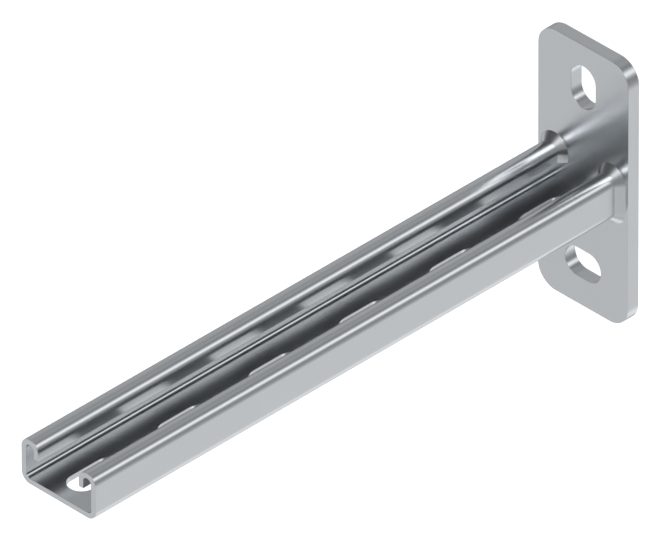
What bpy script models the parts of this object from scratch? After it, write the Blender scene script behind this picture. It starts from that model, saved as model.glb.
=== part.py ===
"""Cantilever strut arm: a slotted strut channel welded at right angles to an upright wall plate.

Metres, +Z up. The origin is the centre of the plate's back face, which lies against the wall.
The arm reaches out along -Y, its open mouth faces up, and +X is across the channel.
"""

from math import cos, pi, radians, sin

import bmesh
import bpy

COLLECTION_NAME = "cantilever_strut_arm"
CUTTER_COLLECTION_NAME = "cutters"

# Strut channel, roll formed from one strip of steel
CHANNEL_WIDTH = 0.041
CHANNEL_HEIGHT = 0.021
STRIP_THICKNESS = 0.0025
ARM_REACH = 0.290  # from the plate's front face to the free end
WEB_BEND_RADIUS = 0.002  # inside the bends between the web and the side walls
LIP_WIDTH = 0.00925  # from the outer side wall to the lip's face in the mouth
LIP_DEPTH = 0.0082  # from the top of the channel down to the strip's cut edge

# Slots punched in a row along the web
SLOT_WIDTH = 0.012
SLOT_LENGTH = 0.027
SLOT_PITCH = 0.050
FIRST_SLOT_FROM_END = 0.020  # from the free end to the centre of the first slot
LEAST_LAND = 0.002  # solid web that is always left between the last slot and the weld

# Wall plate, cut from flat bar
PLATE_WIDTH = 0.050
PLATE_HEIGHT = 0.125
PLATE_THICKNESS = 0.006
PLATE_CORNER_RADIUS = 0.010
PLATE_EDGE_RADIUS = 0.0002  # broken edge all round the faces
WALL_SLOT_WIDTH = 0.0135
WALL_SLOT_LENGTH = 0.020
WALL_SLOT_FROM_EDGE = 0.020  # from the plate's short edge to the slot's centre

# Fillet weld round the outside of the channel
WELD_LEG = 0.003
ROOT_GAP = 0.0003  # the gap at the joint that the weld closes

# How the model is made
CUT_OVERRUN = 0.002  # how far a cutter passes both faces of what it cuts
WELD_MERGE_DISTANCE = 0.00001  # joins a filled outline to its sides
ARC_STEP = radians(15)
PLATE_EDGE_STEPS = 2
SMOOTH_BELOW = radians(30)


def clear_scene():
    """Remove whatever the scene holds, and the meshes and materials left without a user."""
    for old in list(bpy.data.objects):
        bpy.data.objects.remove(old, do_unlink=True)
    for old in list(bpy.data.collections):
        bpy.data.collections.remove(old)
    for store in (bpy.data.meshes, bpy.data.curves, bpy.data.materials):
        for old in list(store):
            if not old.users:
                store.remove(old)


def new_collection(name, shown):
    """Return a new collection in the scene, hidden from renders unless shown."""
    collection = bpy.data.collections.new(name)
    collection.hide_render = not shown
    bpy.context.scene.collection.children.link(collection)
    return collection


def zinc_material(name, colour, roughness):
    """Return a metallic material in the given colour."""
    material = bpy.data.materials.new(name)
    material.use_nodes = True
    shader = material.node_tree.nodes["Principled BSDF"]
    shader.inputs["Base Color"].default_value = (*colour, 1)
    shader.inputs["Metallic"].default_value = 1
    shader.inputs["Roughness"].default_value = roughness
    return material


def arc(centre, radius, start, end):
    """Return the points of an arc from one angle to another, both ends included."""
    steps = max(1, round(abs(end - start) / ARC_STEP))
    angles = [start + (end - start) * step / steps for step in range(steps + 1)]
    return [(centre[0] + radius * cos(a), centre[1] + radius * sin(a)) for a in angles]


def slot_outline(width, length, upright):
    """Return a round-ended slot about the origin, long along Y if upright and along X if not."""
    radius = width / 2
    straight = length / 2 - radius
    top = arc((0, straight), radius, 0, pi)
    bottom = arc((0, -straight), radius, pi, 2 * pi)
    points = top + bottom
    return points if upright else [(-y, x) for x, y in points]


def plate_outline(inset):
    """Return the wall plate's rounded rectangle about its centre, drawn in by the inset."""
    radius = PLATE_CORNER_RADIUS - inset
    half_width = PLATE_WIDTH / 2 - PLATE_CORNER_RADIUS
    half_height = PLATE_HEIGHT / 2 - PLATE_CORNER_RADIUS
    corners = [
        (half_width, half_height),
        (-half_width, half_height),
        (-half_width, -half_height),
        (half_width, -half_height),
    ]
    points = []
    for quarter, corner in enumerate(corners):
        start = quarter * pi / 2
        points += arc(corner, radius, start, start + pi / 2)
    return points


def left_side_line(depth):
    """Return the line that the left half of the strip follows at one depth below its outer face.

    It runs from the cut edge of the lip, up over the lip and down the side wall to the web.
    The points are across the channel and up from its axis.
    """
    half_width, half_height = CHANNEL_WIDTH / 2, CHANNEL_HEIGHT / 2
    lip_radius = LIP_WIDTH / 2
    lip_centre = (lip_radius - half_width, half_height - lip_radius)
    bend_radius = WEB_BEND_RADIUS + STRIP_THICKNESS
    bend_centre = (bend_radius - half_width, bend_radius - half_height)
    cut_edge = (LIP_WIDTH - depth - half_width, half_height - LIP_DEPTH)
    lip = arc(lip_centre, lip_radius - depth, 0, pi)
    bend = arc(bend_centre, bend_radius - depth, pi, pi * 3 / 2)
    return [cut_edge] + lip + bend


def both_sides(line):
    """Return a left-hand line followed by its mirror image, which ends where the line began."""
    return line + [(-x, z) for x, z in reversed(line)]


def channel_section():
    """Return the closed outline of the strip: its outer face, then back along its inner face."""
    outer = both_sides(left_side_line(0))
    inner = both_sides(left_side_line(STRIP_THICKNESS))
    return outer + inner[::-1]


def flat_curve(name, outlines, closed):
    """Return a 2D curve object, still out of the scene, with one straight-sided spline an outline."""
    curve = bpy.data.curves.new(name, "CURVE")
    curve.dimensions = "2D"
    for outline in outlines:
        spline = curve.splines.new("POLY")
        spline.points.add(len(outline) - 1)
        for point, (x, y) in zip(spline.points, outline):
            point.co = (x, y, 0, 1)
        spline.use_cyclic_u = closed
    return bpy.data.objects.new(name, curve)


def mesh_from_curve(source, collection):
    """Replace a placed curve object by a closed mesh object of the same name and place."""
    collection.objects.link(source)
    bpy.context.view_layer.update()
    evaluated = source.evaluated_get(bpy.context.evaluated_depsgraph_get())
    mesh = bpy.data.meshes.new_from_object(evaluated)
    name, place = source.name, source.matrix_world.copy()
    curve = source.data
    bpy.data.objects.remove(source)
    bpy.data.curves.remove(curve)

    work = bmesh.new()
    work.from_mesh(mesh)
    bmesh.ops.remove_doubles(work, verts=work.verts, dist=WELD_MERGE_DISTANCE)
    bmesh.ops.recalc_face_normals(work, faces=work.faces)
    work.to_mesh(mesh)
    work.free()

    made = bpy.data.objects.new(name, mesh)
    made.matrix_world = place
    collection.objects.link(made)
    return made


def extruded(name, outlines, thickness, place, turn, collection):
    """Return a solid: an outline, with any further outlines as holes, extruded along local Z."""
    source = flat_curve(name, outlines, closed=True)
    source.data.fill_mode = "BOTH"
    source.data.extrude = thickness / 2
    source.location = place
    source.rotation_euler = turn
    return mesh_from_curve(source, collection)


def finish(piece, parent, material):
    """Shade a piece smooth between its real edges, give it its material and hang it on the parent."""
    piece.data.materials.clear()
    piece.data.materials.append(material)
    piece.data.shade_smooth()
    piece.data.set_sharp_from_angle(angle=SMOOTH_BELOW)
    piece.parent = parent


def facing_out():
    """Return the turn that stands an outline upright, with its thickness along the arm."""
    return (pi / 2, 0, 0)


def web_slot_places():
    """Return the Y of each slot's centre, from the free end back towards the plate."""
    free_end = -(PLATE_THICKNESS + ARM_REACH)
    first = free_end + FIRST_SLOT_FROM_END
    last_allowed = -(PLATE_THICKNESS + WELD_LEG + LEAST_LAND + SLOT_LENGTH / 2)
    count = 1 + int((last_allowed - first) / SLOT_PITCH)
    return [first + index * SLOT_PITCH for index in range(count)]


def cut_web_slots(channel, cutters):
    """Punch the row of slots through the web of the channel."""
    web_middle = (STRIP_THICKNESS - CHANNEL_HEIGHT) / 2
    outline = slot_outline(SLOT_WIDTH, SLOT_LENGTH, upright=True)
    for index, y in enumerate(web_slot_places(), start=1):
        name = f"slot_cutter_{index}"
        depth = STRIP_THICKNESS + 2 * CUT_OVERRUN
        cutter = extruded(name, [outline], depth, (0, y, web_middle), (0, 0, 0), cutters)
        cutter.hide_render = True
        cutter.display_type = "WIRE"
        cut = channel.modifiers.new(f"web_slot_{index}", "BOOLEAN")
        cut.operation = "DIFFERENCE"
        cut.solver = "EXACT"
        cut.object = cutter


def make_strut_channel(parent, parts, cutters):
    """Make the channel: the strip's section drawn along the arm, with its row of web slots."""
    length = ARM_REACH - ROOT_GAP
    middle = -(PLATE_THICKNESS + ROOT_GAP + length / 2)
    section = [channel_section()]
    channel = extruded("strut_channel", section, length, (0, middle, 0), facing_out(), parts)
    finish(channel, parent, zinc_material("zinc_plated_strip", (0.68, 0.70, 0.71), 0.22))
    cut_web_slots(channel, cutters)
    return channel


def make_wall_plate(parent, parts):
    """Make the plate: a rounded rectangle with an upright slot above the arm and a level one below."""
    reach = PLATE_HEIGHT / 2 - WALL_SLOT_FROM_EDGE
    grow = PLATE_EDGE_RADIUS
    width, length = WALL_SLOT_WIDTH + 2 * grow, WALL_SLOT_LENGTH + 2 * grow
    upper = [(x, y + reach) for x, y in slot_outline(width, length, upright=True)]
    lower = [(x, y - reach) for x, y in slot_outline(width, length, upright=False)]

    source = flat_curve("wall_plate", [plate_outline(grow), upper, lower], closed=True)
    source.data.fill_mode = "BOTH"
    source.data.extrude = PLATE_THICKNESS / 2 - grow
    source.data.bevel_depth = grow
    source.data.bevel_resolution = PLATE_EDGE_STEPS
    source.location = (0, -PLATE_THICKNESS / 2, 0)
    source.rotation_euler = facing_out()
    plate = mesh_from_curve(source, parts)
    finish(plate, parent, zinc_material("zinc_plated_bar", (0.68, 0.70, 0.71), 0.26))
    return plate


def weld_section():
    """Return a curve object of the weld's triangle: across from the strip's face, and off the plate."""
    triangle = [(ROOT_GAP, ROOT_GAP), (WELD_LEG, ROOT_GAP), (ROOT_GAP, WELD_LEG)]
    return flat_curve("weld_section", [triangle], closed=True)


def make_weld_bead(parent, parts, cutters):
    """Make the fillet weld: its triangle swept along the channel's outer face, lip end to lip end."""
    section = weld_section()
    cutters.objects.link(section)
    section.hide_render = True
    section.display_type = "WIRE"

    source = flat_curve("weld_bead", [both_sides(left_side_line(0))], closed=False)
    source.data.fill_mode = "NONE"
    source.data.bevel_mode = "OBJECT"
    source.data.bevel_object = section
    source.data.use_fill_caps = True
    source.location = (0, -PLATE_THICKNESS, 0)
    source.rotation_euler = facing_out()
    bead = mesh_from_curve(source, parts)
    finish(bead, parent, zinc_material("zinc_plated_weld", (0.68, 0.70, 0.71), 0.26))
    return bead


def main():
    """Build the whole arm under one empty at the centre of the plate's back face."""
    clear_scene()
    parts = new_collection(COLLECTION_NAME, shown=True)
    cutters = new_collection(CUTTER_COLLECTION_NAME, shown=False)
    arm = bpy.data.objects.new("arm_origin", None)
    parts.objects.link(arm)
    make_strut_channel(arm, parts, cutters)
    make_wall_plate(arm, parts)
    make_weld_bead(arm, parts, cutters)


main()
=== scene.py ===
"""Looks of the cantilever strut arm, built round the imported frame.

Metres, in the frame's own axes: the wall plate's back face lies at y = 0, the arm reaches out
along -Y, the channel's mouth faces +Z and +X runs across it. Three pieces are dressed: the
roll-formed strut channel, the wall plate and the fillet weld that joins them. Each stands for
the solid of the same name, with finer curves, broken edges and a plated finish.
"""

import logging
from dataclasses import dataclass, field
from enum import Enum
from math import cos, log, pi, radians, sin

import bpy
from mathutils import Matrix, Vector


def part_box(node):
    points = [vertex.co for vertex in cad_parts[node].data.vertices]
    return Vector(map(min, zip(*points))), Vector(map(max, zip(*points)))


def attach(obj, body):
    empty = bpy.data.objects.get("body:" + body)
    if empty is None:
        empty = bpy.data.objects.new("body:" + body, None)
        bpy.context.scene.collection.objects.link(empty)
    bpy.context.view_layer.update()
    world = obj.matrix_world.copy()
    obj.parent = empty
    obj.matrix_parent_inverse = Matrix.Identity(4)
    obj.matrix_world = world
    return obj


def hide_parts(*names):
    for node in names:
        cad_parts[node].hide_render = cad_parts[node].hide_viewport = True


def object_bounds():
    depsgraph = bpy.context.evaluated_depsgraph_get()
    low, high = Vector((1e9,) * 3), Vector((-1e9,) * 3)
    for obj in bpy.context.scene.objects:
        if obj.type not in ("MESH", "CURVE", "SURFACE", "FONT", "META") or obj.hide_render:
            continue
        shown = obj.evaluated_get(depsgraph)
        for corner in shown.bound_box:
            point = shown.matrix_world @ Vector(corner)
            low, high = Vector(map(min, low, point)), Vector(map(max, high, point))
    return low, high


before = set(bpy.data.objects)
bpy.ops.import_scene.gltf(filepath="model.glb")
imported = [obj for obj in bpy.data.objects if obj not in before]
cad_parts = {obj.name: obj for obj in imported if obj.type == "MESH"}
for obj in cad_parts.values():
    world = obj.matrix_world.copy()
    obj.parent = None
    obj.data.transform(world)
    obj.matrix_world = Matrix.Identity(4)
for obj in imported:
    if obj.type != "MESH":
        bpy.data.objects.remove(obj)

CAD_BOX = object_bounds()
LOG = logging.getLogger("strut_arm")

Point2 = tuple[float, float]
Point3 = tuple[float, float, float]
Colour = tuple[float, float, float]

QUARTER_TURN = pi / 2


def toward(azimuth: float, elevation: float) -> Vector:
    """Return the direction in which something stands, seen from the arm.

    Args:
        azimuth: Its azimuth, from the front towards +X, in degrees.
        elevation: Its height above the horizon, in degrees.

    Returns:
        The direction, one unit long.
    """
    turn, rise = radians(azimuth), radians(elevation)
    flat = cos(rise)
    return Vector((sin(turn) * flat, -cos(turn) * flat, sin(rise)))


class Slot(Enum):
    """The record's material slots."""

    CHANNEL = "channel_zinc"
    PLATE = "plate_zinc"
    WELD = "weld_zinc"


class TreeKind(Enum):
    """The kinds of node tree that the script builds."""

    GEOMETRY = "GeometryNodeTree"
    SHADER = "ShaderNodeTree"


class SocketKind(Enum):
    """The kinds of socket that the trees state."""

    GEOMETRY = "NodeSocketGeometry"
    FLOAT = "NodeSocketFloat"
    INTEGER = "NodeSocketInt"
    VECTOR = "NodeSocketVector"
    COLOUR = "NodeSocketColor"
    MATERIAL = "NodeSocketMaterial"


class Tree:
    """A node tree with short ways to add its sockets, nodes and links."""

    def __init__(self, tree: bpy.types.NodeTree) -> None:
        """Wrap a node tree.

        Args:
            tree: The tree to add to.
        """
        self.tree = tree

    @classmethod
    def group(cls, name: str, kind: TreeKind) -> "Tree":
        """Start a new node group with its input and output nodes.

        Args:
            name: The group's name.
            kind: Geometry or shader.

        Returns:
            The wrapped group.
        """
        made = cls(bpy.data.node_groups.new(name, kind.value))
        made.inputs = made.tree.nodes.new("NodeGroupInput")
        made.outputs = made.tree.nodes.new("NodeGroupOutput")
        return made

    def takes(self, kind: SocketKind, *names: str) -> None:
        """State named inputs of the group, all of one kind."""
        for name in names:
            self.tree.interface.new_socket(name, in_out="INPUT", socket_type=kind.value)

    def gives(self, kind: SocketKind, *names: str) -> None:
        """State named outputs of the group, all of one kind."""
        for name in names:
            self.tree.interface.new_socket(name, in_out="OUTPUT", socket_type=kind.value)

    def link(self, source: bpy.types.NodeSocket, target: bpy.types.NodeSocket) -> None:
        """Link an output socket to an input socket."""
        self.tree.links.new(source, target)

    def add(self, kind: str, links: dict | None = None, **settings: object) -> bpy.types.Node:
        """Add a node, set its own settings, and fill its inputs.

        Args:
            kind: The node's type name.
            links: Input name or number to an output socket to link, or a value to set.
            settings: The node's own settings.

        Returns:
            The node.
        """
        node = self.tree.nodes.new(kind)
        for name, value in settings.items():
            setattr(node, name, value)
        for name, source in (links or {}).items():
            for one in source if isinstance(source, list) else [source]:
                if isinstance(one, bpy.types.NodeSocket):
                    self.link(one, node.inputs[name])
                else:
                    node.inputs[name].default_value = one
        return node

    def place(self, group: str, links: dict) -> bpy.types.Node:
        """Place a shader group by its name, fill its inputs, and return its node."""
        return self.add("ShaderNodeGroup", links, node_tree=bpy.data.node_groups[group])

    def math(self, operation: str, *values: object) -> bpy.types.NodeSocket:
        """Add a Math node on sockets or numbers and return its output."""
        return self.add("ShaderNodeMath", dict(enumerate(values)), operation=operation).outputs[0]

    def vector(self, x: object, y: object, z: object) -> bpy.types.NodeSocket:
        """Combine three sockets or numbers into a vector and return its output."""
        return self.add("ShaderNodeCombineXYZ", {0: x, 1: y, 2: z}).outputs[0]

    def set_modifier(self, piece: bpy.types.Object, values: dict[str, object]) -> None:
        """Put this geometry tree on a piece and set its named inputs by their identifiers.

        Args:
            piece: The object that the tree shapes.
            values: Input name to value.
        """
        modifier = piece.modifiers.new(self.tree.name, "NODES")
        modifier.node_group = self.tree
        for item in self.tree.interface.items_tree:
            if item.in_out == "INPUT" and item.name in values:
                modifier[item.identifier] = values[item.name]


# Finishes

ZINC_COLOUR: Colour = (0.634, 0.65, 0.666)
CLOUD_DETAIL = 3.0
SPECKLE_DETAIL = 1.0
GRAIN_DETAIL = 2.0
NOISE_MEAN = 0.5


def plating_cloud_group() -> bpy.types.NodeTree:
    """Build the soft mottling of a zinc coat: broad clouds and a fine speckle.

    Returns:
        A group that gives a colour and a roughness that change over the surface.
    """
    group = Tree.group("plating_cloud", TreeKind.SHADER)
    group.takes(SocketKind.VECTOR, "Vector")
    group.takes(SocketKind.COLOUR, "Colour")
    group.takes(SocketKind.FLOAT, "Cloud Scale", "Speckle Scale", "Tone Change")
    group.takes(SocketKind.FLOAT, "Roughness", "Roughness Change")
    group.gives(SocketKind.COLOUR, "Colour")
    group.gives(SocketKind.FLOAT, "Roughness")
    given = group.inputs.outputs
    cloud = group.add(
        "ShaderNodeTexNoise",
        {"Vector": given["Vector"], "Scale": given["Cloud Scale"], "Detail": CLOUD_DETAIL},
    )
    speckle = group.add(
        "ShaderNodeTexNoise",
        {
            "Vector": given["Vector"],
            "Scale": given["Speckle Scale"],
            "Detail": SPECKLE_DETAIL,
        },
    )
    both = group.math("ADD", cloud.outputs[0], speckle.outputs[0])
    swing = group.math("SUBTRACT", both, 2 * NOISE_MEAN)
    tone = group.math("MULTIPLY_ADD", swing, given["Tone Change"], 1.0)
    colour = group.add(
        "ShaderNodeVectorMath", {0: given["Colour"], "Scale": tone}, operation="SCALE"
    )
    rough = group.math("MULTIPLY_ADD", swing, given["Roughness Change"], given["Roughness"])
    group.link(colour.outputs[0], group.outputs.inputs["Colour"])
    group.link(rough, group.outputs.inputs["Roughness"])
    return group.tree


def rolling_grain_group() -> bpy.types.NodeTree:
    """Build the faint lines that rolling leaves along a strip.

    Returns:
        A group that gives a height, in shares of the grain's depth.
    """
    group = Tree.group("rolling_grain", TreeKind.SHADER)
    group.takes(SocketKind.VECTOR, "Vector")
    group.takes(SocketKind.FLOAT, "Line Scale", "Stretch", "Pebble Scale")
    group.gives(SocketKind.FLOAT, "Height")
    given = group.inputs.outputs
    along = group.math("DIVIDE", 1.0, given["Stretch"])
    drawn = group.add(
        "ShaderNodeVectorMath",
        {0: given["Vector"], 1: group.vector(1.0, along, 1.0)},
        operation="MULTIPLY",
    )
    lines = group.add(
        "ShaderNodeTexNoise",
        {"Vector": drawn.outputs[0], "Scale": given["Line Scale"], "Detail": GRAIN_DETAIL},
    )
    pebbles = group.add(
        "ShaderNodeTexNoise",
        {"Vector": given["Vector"], "Scale": given["Pebble Scale"], "Detail": GRAIN_DETAIL},
    )
    height = group.math("ADD", lines.outputs[0], pebbles.outputs[0])
    group.link(height, group.outputs.inputs["Height"])
    return group.tree


@dataclass(frozen=True)
class ZincFinish:
    """A satin zinc coat over steel.

    Args:
        name: The material's name.
        colour: The coat's reflectance, linear.
        roughness: The mean roughness.
        metal_share: How far the coat mirrors as bare metal does.
        roughness_change: How far the roughness swings over the mottling.
        tone_change: The share by which the tone swings over the mottling.
        cloud_scale: How many of the mottling's clouds a metre holds.
        speckle_scale: How many of its speckles a metre holds.
        grain_depth: The height of the rolling grain, in metres.
        grain_stretch: How many times longer than wide the grain's lines are, along Y.
        line_scale: How many of the grain's lines a metre holds.
        pebble_scale: How many of the small bumps among them a metre holds.
    """

    name: str
    colour: Colour
    roughness: float
    metal_share: float = 0.984
    roughness_change: float = 0.02
    tone_change: float = 0.03
    cloud_scale: float = 60.0
    speckle_scale: float = 1800.0
    grain_depth: float = 0.0000004
    grain_stretch: float = 60.0
    line_scale: float = 2400.0
    pebble_scale: float = 900.0

    def material(self) -> bpy.types.Material:
        """Build the material on the piece's own Object coordinates.

        Returns:
            The material.
        """
        material = bpy.data.materials.new(self.name)
        material.use_nodes = True
        nodes = Tree(material.node_tree)
        shader = material.node_tree.nodes["Principled BSDF"]
        shader.inputs["Metallic"].default_value = self.metal_share
        place = nodes.add("ShaderNodeTexCoord").outputs["Object"]
        mottling = {
            "Vector": place,
            "Colour": (*self.colour, 1),
            "Cloud Scale": self.cloud_scale,
            "Speckle Scale": self.speckle_scale,
            "Tone Change": self.tone_change,
            "Roughness": self.roughness,
            "Roughness Change": self.roughness_change,
        }
        lines = {
            "Vector": place,
            "Line Scale": self.line_scale,
            "Stretch": self.grain_stretch,
            "Pebble Scale": self.pebble_scale,
        }
        cloud = nodes.place("plating_cloud", mottling)
        height = nodes.place("rolling_grain", lines).outputs["Height"]
        bump = nodes.add("ShaderNodeBump", {"Distance": self.grain_depth, "Height": height})
        nodes.link(cloud.outputs["Colour"], shader.inputs["Base Color"])
        nodes.link(cloud.outputs["Roughness"], shader.inputs["Roughness"])
        nodes.link(bump.outputs["Normal"], shader.inputs["Normal"])
        return material


# Outlines and finished meshes

ARC_STEP = radians(5)
CORNER_FACES = round(QUARTER_TURN / ARC_STEP)
# Two faces that turn by more than this meet in a real edge.
SHARP_TURN = radians(40)
FLAT_FACE_WEIGHT = 90
MERGE_DISTANCE = 0.000005
# The share of a slot's width that rounds its corners. A full half would leave doubled points.
SLOT_END_SHARE = 0.4999


def arc(centre: Point2, radius: float, start: float, end: float) -> list[Point2]:
    """Return the points of an arc, both ends included.

    Args:
        centre: The arc's centre.
        radius: Its radius.
        start: The angle of its first point.
        end: The angle of its last point.

    Returns:
        The points in order.
    """
    steps = max(1, round(abs(end - start) / ARC_STEP))
    angles = [start + (end - start) * step / steps for step in range(steps + 1)]
    return [(centre[0] + radius * cos(a), centre[1] + radius * sin(a)) for a in angles]


def outline_object(name: str, points: list[Point2], closed: bool) -> bpy.types.Object:
    """Return an object whose mesh is one line of edges in its XY plane.

    Args:
        name: The object's name.
        points: The line's points.
        closed: Whether its end joins its beginning.

    Returns:
        The object, in the scene.
    """
    count = len(points)
    edges = [(i, (i + 1) % count) for i in range(count if closed else count - 1)]
    mesh = bpy.data.meshes.new(name)
    mesh.from_pydata([(x, y, 0) for x, y in points], edges, [])
    made = bpy.data.objects.new(name, mesh)
    bpy.context.scene.collection.objects.link(made)
    return made


def break_edges(piece: bpy.types.Object, radius: float, segments: int) -> None:
    """Round a piece's real edges and keep its flat faces flat in the shading.

    Args:
        piece: The piece, which gets a Bevel and a Weighted Normal modifier.
        radius: The edge radius.
        segments: The number of faces across the rounding.
    """
    bevel = piece.modifiers.new("broken_edges", "BEVEL")
    bevel.width = radius
    bevel.segments = segments
    bevel.limit_method = "ANGLE"
    bevel.angle_limit = SHARP_TURN
    bevel.use_clamp_overlap = False
    normals = piece.modifiers.new("flat_faces", "WEIGHTED_NORMAL")
    normals.mode = "FACE_AREA_WITH_ANGLE"
    normals.weight = FLAT_FACE_WEIGHT
    normals.keep_sharp = True


def settled(piece: bpy.types.Object) -> bpy.types.Object:
    """Turn a piece's modifiers into a plain mesh.

    Args:
        piece: The piece with its modifiers.

    Returns:
        The same object with the finished mesh and no modifiers.
    """
    bpy.context.view_layer.update()
    graph = bpy.context.evaluated_depsgraph_get()
    mesh = bpy.data.meshes.new_from_object(piece.evaluated_get(graph), depsgraph=graph)
    mesh.name = piece.name
    piece.modifiers.clear()
    piece.data = mesh
    # Empty material slots are dropped.
    while None in mesh.materials[:]:
        mesh.materials.pop(index=mesh.materials[:].index(None))
    return piece


def take_over(piece: bpy.types.Object, node: str) -> None:
    """Let a finished piece stand for its CAD node on the arm's one body.

    Args:
        piece: The finished piece.
        node: The CAD node that it replaces.
    """
    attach(piece, "root")
    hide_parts(node)
    LOG.info("%s: %d faces", piece.name, len(piece.data.polygons))


def standing_up(tree: Tree, geometry: bpy.types.NodeSocket, y: object) -> bpy.types.NodeSocket:
    """Stand geometry that was drawn in the XY plane upright, with its depth along -Y.

    Args:
        tree: The geometry tree to add to.
        geometry: The geometry.
        y: Where its foot comes along Y.

    Returns:
        The geometry's output socket.
    """
    links = {"Geometry": geometry, "Translation": tree.vector(0.0, y, 0.0)}
    turned = tree.add("GeometryNodeTransform", links)
    turned.inputs["Rotation"].default_value = (QUARTER_TURN, 0, 0)
    return turned.outputs[0]


def thickened(tree: Tree, face: bpy.types.NodeSocket, depth: object) -> bpy.types.NodeSocket:
    """Make a closed solid from a flat face by drawing it out along its normal.

    Args:
        tree: The geometry tree to add to.
        face: The flat face, which looks along +Z.
        depth: How far it is drawn.

    Returns:
        The solid's output socket.
    """
    drawn = tree.add("GeometryNodeExtrudeMesh", {"Mesh": face, "Offset Scale": depth})
    drawn.inputs["Individual"].default_value = False
    back = tree.add("GeometryNodeFlipFaces", {"Mesh": face}).outputs[0]
    both = tree.add("GeometryNodeJoinGeometry", {"Geometry": [drawn.outputs[0], back]})
    merged = tree.add("GeometryNodeMergeByDistance", {"Geometry": both.outputs[0]})
    merged.inputs["Distance"].default_value = MERGE_DISTANCE
    return merged.outputs[0]


def round_slot(tree: Tree, width: object, length: object) -> bpy.types.NodeSocket:
    """Draw a round-ended slot about the origin, long along Y.

    Args:
        tree: The geometry tree to add to.
        width: The slot's width.
        length: Its length from end to end.

    Returns:
        The closed curve's output socket.
    """
    box = tree.add("GeometryNodeCurvePrimitiveQuadrilateral", {"Width": width, "Height": length})
    ends = tree.add("GeometryNodeFilletCurve", {"Curve": box.outputs[0]}, mode="POLY")
    ends.inputs["Count"].default_value = CORNER_FACES
    tree.link(tree.math("MULTIPLY", width, SLOT_END_SHARE), ends.inputs["Radius"])
    return ends.outputs[0]


def finished(tree: Tree, geometry: bpy.types.NodeSocket) -> None:
    """End a tree: realize what it made, shade it smooth and give it its material.

    Args:
        tree: The geometry tree.
        geometry: What it made.
    """
    real = tree.add("GeometryNodeRealizeInstances", {"Geometry": geometry}).outputs[0]
    smooth = tree.add("GeometryNodeSetShadeSmooth", {"Geometry": real}).outputs[0]
    links = {"Geometry": smooth, "Material": tree.inputs.outputs["Finish"]}
    dressed = tree.add("GeometryNodeSetMaterial", links).outputs[0]
    tree.link(dressed, tree.outputs.inputs["Geometry"])


# The pieces


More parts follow.
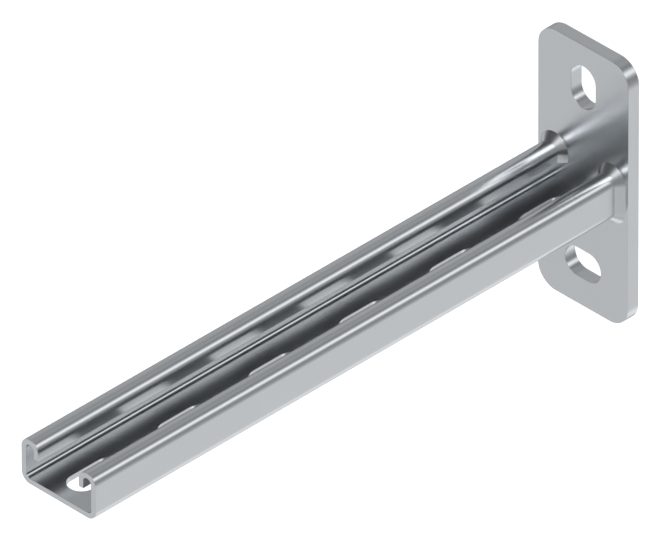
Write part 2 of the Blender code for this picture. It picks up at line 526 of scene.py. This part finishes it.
@dataclass
class StrutChannel:
    """The roll-formed channel: its C section drawn along the arm, with slots along its web.

    Args:
        strip: The strip's thickness.
        web_bend: The inside radius of the bends between web and walls.
        lip_width: From the outer wall to the lip's face in the mouth.
        lip_depth: From the channel's top down to the strip's cut edge.
        slot_width: The width of a web slot.
        slot_length: Its length.
        slot_pitch: From one slot to the next.
        first_slot: From the free end to the first slot's centre.
        land: Solid web always left between the last slot and the plate.
        edge_radius: The radius of every broken edge.
        edge_faces: The number of faces across each.
        overrun: How far a cutter passes the web on both sides.
        low: The lowest corner of the channel's box.
        high: The highest corner of that box.
        plate_front: Where the plate's front face lies along Y.
    """

    strip: float = 0.0025
    web_bend: float = 0.002
    lip_width: float = 0.00925
    lip_depth: float = 0.0082
    slot_width: float = 0.012
    slot_length: float = 0.027
    slot_pitch: float = 0.050
    first_slot: float = 0.020
    land: float = 0.005
    edge_radius: float = 0.0001
    edge_faces: int = 2
    overrun: float = 0.002
    low: Vector = field(default_factory=lambda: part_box("strut_channel")[0])
    high: Vector = field(default_factory=lambda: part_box("strut_channel")[1])
    plate_front: float = field(default_factory=lambda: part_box("wall_plate")[0].y)

    def side_line(self, depth: float) -> list[Point2]:
        """Return the left half of the strip's line, from the lip's cut edge to the web.

        Args:
            depth: How far below the strip's outer face the line lies.

        Returns:
            The points, across the channel and up.
        """
        half = self.high.x
        lip_radius = self.lip_width / 2
        bend_radius = self.web_bend + self.strip
        lip_centre = (lip_radius - half, self.high.z - lip_radius)
        bend_centre = (bend_radius - half, self.low.z + bend_radius)
        cut_edge = (self.lip_width - depth - half, self.high.z - self.lip_depth)
        lip = arc(lip_centre, lip_radius - depth, 0, pi)
        bend = arc(bend_centre, bend_radius - depth, pi, pi + QUARTER_TURN)
        return [cut_edge] + lip + bend

    def full_line(self, depth: float) -> list[Point2]:
        """Return the strip's whole line at a depth, from lip edge to lip edge."""
        left = self.side_line(depth)
        return left + [(-x, z) for x, z in reversed(left)]

    def tree(self) -> Tree:
        """Build the tree that draws the section out and punches the slots.

        Returns:
            The geometry tree.
        """
        tree = Tree.group("strut_channel_form", TreeKind.GEOMETRY)
        tree.takes(SocketKind.GEOMETRY, "Geometry")
        tree.takes(SocketKind.FLOAT, "Length", "Foot", "Cut Level", "Cut Depth")
        tree.takes(SocketKind.FLOAT, "Slot Width", "Slot Length", "Slot Pitch", "First Slot")
        tree.takes(SocketKind.INTEGER, "Slot Count")
        tree.takes(SocketKind.MATERIAL, "Finish")
        tree.gives(SocketKind.GEOMETRY, "Geometry")
        given = tree.inputs.outputs

        line = tree.add("GeometryNodeMeshToCurve", {"Mesh": given["Geometry"]}).outputs[0]
        face = tree.add("GeometryNodeFillCurve", {"Curve": line}, mode="NGONS").outputs[0]
        bar = standing_up(tree, thickened(tree, face, given["Length"]), given["Foot"])

        outline = round_slot(tree, given["Slot Width"], given["Slot Length"])
        blank = tree.add("GeometryNodeFillCurve", {"Curve": outline}, mode="NGONS").outputs[0]
        punch = thickened(tree, blank, given["Cut Depth"])
        row = tree.add(
            "GeometryNodeMeshLine",
            {
                "Count": given["Slot Count"],
                "Start Location": tree.vector(0.0, given["First Slot"], given["Cut Level"]),
                "Offset": tree.vector(0.0, given["Slot Pitch"], 0.0),
            },
            mode="OFFSET",
        ).outputs[0]
        punches = tree.add("GeometryNodeInstanceOnPoints", {"Points": row, "Instance": punch})
        real = tree.add("GeometryNodeRealizeInstances", {"Geometry": punches.outputs[0]})
        cut = tree.add(
            "GeometryNodeMeshBoolean",
            {"Mesh 1": bar, "Mesh 2": real.outputs[0]},
            operation="DIFFERENCE",
            solver="EXACT",
        )
        finished(tree, cut.outputs[0])
        return tree

    def build(self, finish: ZincFinish) -> bpy.types.Object:
        """Make the channel.

        Args:
            finish: The finish of its strip.

        Returns:
            The finished piece.
        """
        outer, inner = self.full_line(0), self.full_line(self.strip)
        piece = outline_object("channel", outer + inner[::-1], closed=True)
        first = self.low.y + self.first_slot
        last_allowed = self.plate_front - self.land - self.slot_length / 2
        values = {
            "Length": self.plate_front - self.low.y,
            "Foot": self.plate_front,
            "Slot Width": self.slot_width,
            "Slot Length": self.slot_length,
            "Slot Pitch": self.slot_pitch,
            "First Slot": first,
            "Cut Level": self.low.z - self.overrun,
            "Cut Depth": self.strip + 2 * self.overrun,
            "Slot Count": 1 + int((last_allowed - first) / self.slot_pitch),
            "Finish": finish.material(),
        }
        self.tree().set_modifier(piece, values)
        break_edges(piece, self.edge_radius, self.edge_faces)
        return settled(piece)


@dataclass
class WallPlate:
    """The wall plate: a rounded rectangle with an upright slot above the arm and a level one below.

    Args:
        corner: The radius of its corners.
        slot_width: The width of both slots.
        slot_length: Their length.
        slot_from_edge: From the plate's short edge to the slot's centre.
        edge_radius: The radius of every broken edge.
        edge_faces: The number of faces across each.
        low: The lowest corner of the plate's box.
        high: The highest corner of that box.
    """

    corner: float = 0.010
    slot_width: float = 0.0135
    slot_length: float = 0.020
    slot_from_edge: float = 0.020
    edge_radius: float = 0.0001
    edge_faces: int = 3
    low: Vector = field(default_factory=lambda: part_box("wall_plate")[0])
    high: Vector = field(default_factory=lambda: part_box("wall_plate")[1])

    def tree(self) -> Tree:
        """Build the tree that draws the plate from its outline and its two slots.

        Returns:
            The geometry tree.
        """
        tree = Tree.group("wall_plate_form", TreeKind.GEOMETRY)
        tree.takes(SocketKind.GEOMETRY, "Geometry")
        tree.takes(SocketKind.FLOAT, "Width", "Height", "Thickness", "Corner Radius")
        tree.takes(SocketKind.FLOAT, "Slot Width", "Slot Length", "Slot Reach")
        tree.takes(SocketKind.MATERIAL, "Finish")
        tree.gives(SocketKind.GEOMETRY, "Geometry")
        given = tree.inputs.outputs

        links = {"Width": given["Width"], "Height": given["Height"]}
        box = tree.add("GeometryNodeCurvePrimitiveQuadrilateral", links).outputs[0]
        links = {"Curve": box, "Radius": given["Corner Radius"]}
        edge = tree.add("GeometryNodeFilletCurve", links, mode="POLY")
        edge.inputs["Count"].default_value = CORNER_FACES
        slot = round_slot(tree, given["Slot Width"], given["Slot Length"])
        reach = given["Slot Reach"]
        links = {"Geometry": slot, "Translation": tree.vector(0.0, reach, 0.0)}
        upper = tree.add("GeometryNodeTransform", links).outputs[0]
        down = tree.math("MULTIPLY", reach, -1.0)
        links = {"Geometry": slot, "Translation": tree.vector(0.0, down, 0.0)}
        level = tree.add("GeometryNodeTransform", links)
        level.inputs["Rotation"].default_value = (0, 0, QUARTER_TURN)
        lines = [edge.outputs[0], upper, level.outputs[0]]
        outline = tree.add("GeometryNodeJoinGeometry", {"Geometry": lines}).outputs[0]
        face = tree.add("GeometryNodeFillCurve", {"Curve": outline}, mode="NGONS").outputs[0]
        solid = thickened(tree, face, given["Thickness"])
        finished(tree, standing_up(tree, solid, 0.0))
        return tree

    def build(self, finish: ZincFinish) -> bpy.types.Object:
        """Make the plate.

        Args:
            finish: The finish of its bar.

        Returns:
            The finished piece.
        """
        piece = outline_object("plate", [], closed=False)
        size = self.high - self.low
        values = {
            "Width": size.x,
            "Height": size.z,
            "Thickness": size.y,
            "Corner Radius": self.corner,
            "Slot Width": self.slot_width,
            "Slot Length": self.slot_length,
            "Slot Reach": size.z / 2 - self.slot_from_edge,
            "Finish": finish.material(),
        }
        self.tree().set_modifier(piece, values)
        break_edges(piece, self.edge_radius, self.edge_faces)
        return settled(piece)


@dataclass
class WeldBead:
    """The fillet weld: a triangle swept along the channel's outer face, from lip edge to lip edge.

    Args:
        channel: The channel that it follows.
        leg: How far it stands off the channel and off the plate.
        under_share: How much larger it is under the web, as a share of its leg.
        bite: How far it runs into both.
        toe_radius: The radius of its edges.
        toe_faces: The number of faces across each.
    """

    channel: StrutChannel
    leg: float = 0.00325
    under_share: float = 1.2
    bite: float = 0.0002
    toe_radius: float = 0.00005
    toe_faces: int = 2

    def tree(self) -> Tree:
        """Build the tree that sweeps the weld's triangle along a line.

        Returns:
            The geometry tree.
        """
        tree = Tree.group("weld_bead_form", TreeKind.GEOMETRY)
        tree.takes(SocketKind.GEOMETRY, "Geometry")
        tree.takes(SocketKind.FLOAT, "Leg", "Bite", "Foot")
        tree.takes(SocketKind.FLOAT, "Web Level", "Bend Top", "Under Share")
        tree.takes(SocketKind.MATERIAL, "Finish")
        tree.gives(SocketKind.GEOMETRY, "Geometry")
        given = tree.inputs.outputs
        inside = tree.math("MULTIPLY", given["Bite"], -1.0)
        front = tree.math("MULTIPLY", given["Leg"], -1.0)

        triangle = tree.add("GeometryNodeMeshCircle", fill_type="NONE")
        places = (
            tree.vector(inside, given["Bite"], 0.0),
            tree.vector(inside, front, 0.0),
            tree.vector(given["Leg"], given["Bite"], 0.0),
        )
        triangle.inputs["Vertices"].default_value = len(places)
        index = tree.add("GeometryNodeInputIndex").outputs[0]
        corners = tree.add("GeometryNodeIndexSwitch", {"Index": index}, data_type="VECTOR")
        # The switch starts with two items, and its first input is the index.
        corners.index_switch_items.new()
        for number, place in enumerate(places, start=1):
            tree.link(place, corners.inputs[number])
        links = {"Geometry": triangle.outputs[0], "Position": corners.outputs[0]}
        shaped = tree.add("GeometryNodeSetPosition", links).outputs[0]
        profile = tree.add("GeometryNodeMeshToCurve", {"Mesh": shaped}).outputs[0]
        path = tree.add("GeometryNodeMeshToCurve", {"Mesh": given["Geometry"]}).outputs[0]
        place = tree.add("GeometryNodeInputPosition").outputs[0]
        height = tree.add("ShaderNodeSeparateXYZ", {0: place}).outputs[1]
        growth = tree.add(
            "ShaderNodeMapRange",
            {
                "Value": height,
                "From Min": given["Bend Top"],
                "From Max": given["Web Level"],
                "To Min": 1.0,
                "To Max": given["Under Share"],
            },
            interpolation_type="SMOOTHSTEP",
        )
        swept = tree.add(
            "GeometryNodeCurveToMesh",
            {"Curve": path, "Profile Curve": profile, "Scale": growth.outputs[0]},
        )
        swept.inputs["Fill Caps"].default_value = True
        finished(tree, standing_up(tree, swept.outputs[0], given["Foot"]))
        return tree

    def build(self, finish: ZincFinish) -> bpy.types.Object:
        """Make the weld.

        Args:
            finish: The finish over the weld metal.

        Returns:
            The finished piece.
        """
        piece = outline_object("weld", self.channel.full_line(0), closed=False)
        values = {
            "Leg": self.leg,
            "Bite": self.bite,
            "Foot": self.channel.plate_front,
            "Web Level": self.channel.low.z,
            "Bend Top": self.channel.low.z + self.channel.web_bend + self.channel.strip,
            "Under Share": self.under_share,
            "Finish": finish.material(),
        }
        self.tree().set_modifier(piece, values)
        break_edges(piece, self.toe_radius, self.toe_faces)
        return settled(piece)


# The studio

WHITE: Colour = (1.0, 1.0, 1.0)
# Where a vector Mix node has its two inputs and its result.
MIX_FIRST, MIX_SECOND, MIX_RESULT = 4, 5, 1


@dataclass(frozen=True)
class SoftLight:
    """A soft light far off in the sky, brightest in its middle and fading all round.

    Args:
        azimuth: Where it stands, from the front towards +X, in degrees.
        elevation: Its height above the horizon, in degrees.
        spread: The angle from its middle at which half its brightness is left, in degrees.
        radiance: How bright its middle is.
    """

    azimuth: float
    elevation: float
    spread: float
    radiance: float

    def direction(self) -> Vector:
        """Return the direction in which the light stands, seen from the arm."""
        return toward(self.azimuth, self.elevation)

    def sharpness(self) -> float:
        """Return how fast the light fades with the cosine of the angle from its middle."""
        return log(2) / (1 - cos(radians(self.spread)))


def soft_light_group() -> bpy.types.NodeTree:
    """Build the shader group that gives one soft light's radiance in a direction.

    Returns:
        The group.
    """
    group = Tree.group("soft_light", TreeKind.SHADER)
    group.takes(SocketKind.VECTOR, "Vector", "Direction")
    group.takes(SocketKind.FLOAT, "Sharpness", "Radiance")
    group.gives(SocketKind.FLOAT, "Radiance")
    given = group.inputs.outputs
    links = {0: given["Vector"], 1: given["Direction"]}
    facing = group.add("ShaderNodeVectorMath", links, operation="DOT_PRODUCT").outputs["Value"]
    away = group.math("SUBTRACT", facing, 1.0)
    share = group.math("EXPONENT", group.math("MULTIPLY", away, given["Sharpness"]))
    radiance = group.math("MULTIPLY", share, given["Radiance"])
    group.link(radiance, group.outputs.inputs["Radiance"])
    return group.tree


@dataclass
class Studio:
    """A pale floor far below the arm, under a dim sky with soft lights in it.

    The lights were fitted to how bright each face of the arm looks, and then rounded.

    Args:
        floor_drop: How far the floor lies below the arm.
        floor_side: The length of the floor's sides.
        floor_tone: The floor's reflectance.
        overhead: The strength of the even light from straight above that whitens the floor.
        overhead_angle: How wide that light looks from the floor, in degrees.
        ambient: The radiance of the sky between the lights.
        tint: The colour of the sky's light.
        lights: The soft lights.
    """

    floor_drop: float = 1.2
    floor_side: float = 60.0
    floor_tone: float = 0.9
    overhead: float = 2.3
    overhead_angle: float = 10.0
    ambient: float = 0.005
    tint: Colour = (0.983, 1.0, 1.012)
    lights: tuple[SoftLight, ...] = (
        SoftLight(30, 50, 13, 3.0),
        SoftLight(41, 61, 14, 2.9),
        SoftLight(130, 31, 10, 1.8),
        SoftLight(-45, -72, 20, 1.4),
        SoftLight(106, -30, 12, 1.3),
        SoftLight(162, -50, 22, 1.1),
        SoftLight(28, -40, 20, 1.0),
        SoftLight(75, 10, 20, 0.88),
        SoftLight(-150, 24, 18, 0.86),
        SoftLight(-45, -22, 22, 0.7),
        SoftLight(-153, -25, 15, 0.6),
        SoftLight(175, 52, 17, 0.43),
        SoftLight(-115, 2, 19, 0.42),
        SoftLight(-92, -14, 15, 0.36),
        SoftLight(15, 13, 22, 0.34),
        SoftLight(-178, -15, 15, 0.34),
        SoftLight(110, 0, 22, 0.33),
        SoftLight(-86, -27, 22, 0.25),
        SoftLight(-29, 13, 27, 0.16),
        SoftLight(143, -30, 24, 0.24),
    )

    def floor_material(self) -> bpy.types.Material:
        """Build the floor's matt white, which is only there from above.

        Returns:
            The material.
        """
        material = bpy.data.materials.new("studio_floor")
        material.use_nodes = True
        nodes = Tree(material.node_tree)
        shader = material.node_tree.nodes["Principled BSDF"]
        shader.inputs["Roughness"].default_value = 1.0
        shader.inputs["Specular IOR Level"].default_value = 0.0
        tone = self.floor_tone
        shader.inputs["Base Color"].default_value = (tone, tone, tone, 1)
        below = nodes.add("ShaderNodeNewGeometry").outputs["Backfacing"]
        clear = nodes.add("ShaderNodeBsdfTransparent").outputs[0]
        mix = nodes.add("ShaderNodeMixShader", {0: below, 1: shader.outputs[0], 2: clear})
        output = material.node_tree.nodes["Material Output"]
        nodes.link(mix.outputs[0], output.inputs["Surface"])
        return material

    def floor(self, aim: Vector) -> None:
        """Lay the floor.

        Args:
            aim: The arm's middle.
        """
        half = self.floor_side / 2
        level = aim.z - self.floor_drop
        corners = [(-half, -half), (half, -half), (half, half), (-half, half)]
        mesh = bpy.data.meshes.new("studio_floor")
        mesh.from_pydata([(x, y, level) for x, y in corners], [], [(0, 1, 2, 3)])
        mesh.materials.append(self.floor_material())
        floor = bpy.data.objects.new("studio_floor", mesh)
        floor.visible_glossy = False
        bpy.context.scene.collection.objects.link(floor)

    def overhead_light(self) -> None:
        """Hang the even light that whitens the floor, which metal doesn't mirror."""
        light = bpy.data.lights.new("overhead_light", "SUN")
        light.energy = self.overhead
        light.angle = radians(self.overhead_angle)
        made = bpy.data.objects.new("overhead_light", light)
        made.visible_glossy = False
        bpy.context.scene.collection.objects.link(made)

    def sky(self) -> None:
        """Surround the scene with the sky, which the camera sees as plain white."""
        world = bpy.data.worlds.new("studio_sky")
        bpy.context.scene.world = world
        world.use_nodes = True
        nodes = Tree(world.node_tree)
        place = nodes.add("ShaderNodeTexCoord").outputs["Generated"]
        total = self.ambient
        for light in self.lights:
            links = {
                "Vector": place,
                "Direction": light.direction(),
                "Sharpness": light.sharpness(),
                "Radiance": light.radiance,
            }
            one = nodes.place("soft_light", links)
            total = nodes.math("ADD", total, one.outputs["Radiance"])
        glow = nodes.add(
            "ShaderNodeVectorMath", {0: self.tint, "Scale": total}, operation="SCALE"
        )
        seen = nodes.add("ShaderNodeLightPath").outputs["Is Camera Ray"]
        links = {"Factor": seen, MIX_FIRST: glow.outputs[0], MIX_SECOND: WHITE}
        shown = nodes.add("ShaderNodeMix", links, data_type="VECTOR")
        background = world.node_tree.nodes["Background"]
        nodes.link(shown.outputs[MIX_RESULT], background.inputs["Color"])

    def build(self, aim: Vector) -> None:
        """Build the whole studio round the arm.

        Args:
            aim: The arm's middle.
        """
        soft_light_group()
        self.floor(aim)
        self.overhead_light()
        self.sky()
        LOG.info("studio: floor %.1f m below, %d soft lights", self.floor_drop, len(self.lights))


@dataclass(frozen=True)
class PhotoCamera:
    """A very long lens that draws the arm as the photograph's isometric view does.

    Args:
        azimuth: The camera's azimuth, from the front towards +X, in degrees.
        elevation: Its height above the horizon, in degrees.
        roll: Its turn about its own axis, in degrees.
        aim: The point that the image's centre looks at.
        lens: The focal length, in millimetres.
        distance: How far it stands from the aim.
        nearest: The nearest thing that it draws.
        farthest: The farthest thing that it draws.
    """

    azimuth: float = 45.1893
    elevation: float = 35.0364
    roll: float = -0.2132
    aim: Point3 = (0.00008, -0.14650, 0.02537)
    lens: float = 1400.0
    distance: float = 10.067
    nearest: float = 0.1
    farthest: float = 100.0

    def build(self) -> bpy.types.Object:
        """Make the camera and give it to the scene.

        Returns:
            The camera's object.
        """
        data = bpy.data.cameras.new("photo_camera")
        data.lens = self.lens
        data.clip_start = self.nearest
        data.clip_end = self.farthest
        camera = bpy.data.objects.new("photo_camera", data)
        back = toward(self.azimuth, self.elevation)
        turn = back.to_track_quat("Z", "Y").to_matrix()
        turn = turn @ Matrix.Rotation(radians(self.roll), 3, "Z")
        camera.rotation_euler = turn.to_euler()
        camera.location = Vector(self.aim) + back * self.distance
        bpy.context.scene.collection.objects.link(camera)
        bpy.context.scene.camera = camera
        LOG.info("camera: %.0f mm lens at %.2f m", self.lens, self.distance)
        return camera


def main() -> None:
    """Dress the arm, build the studio and place the camera."""
    logging.basicConfig(level=logging.INFO, format="%(name)s: %(message)s")
    bpy.context.scene.view_settings.view_transform = "Standard"
    PhotoCamera().build()
    plating_cloud_group()
    rolling_grain_group()
    channel = StrutChannel()
    strip = ZincFinish("zinc_on_strip", ZINC_COLOUR, roughness=0.24)
    bar = ZincFinish("zinc_on_bar", ZINC_COLOUR, roughness=0.25, grain_stretch=1.0)
    weld = ZincFinish("zinc_on_weld", ZINC_COLOUR, roughness=0.24, grain_stretch=1.0)
    take_over(channel.build(strip), "strut_channel")
    take_over(WallPlate().build(bar), "wall_plate")
    take_over(WeldBead(channel).build(weld), "weld_bead")
    Studio().build(sum(CAD_BOX, Vector()) / 2)


if __name__ == "__main__":
    main()
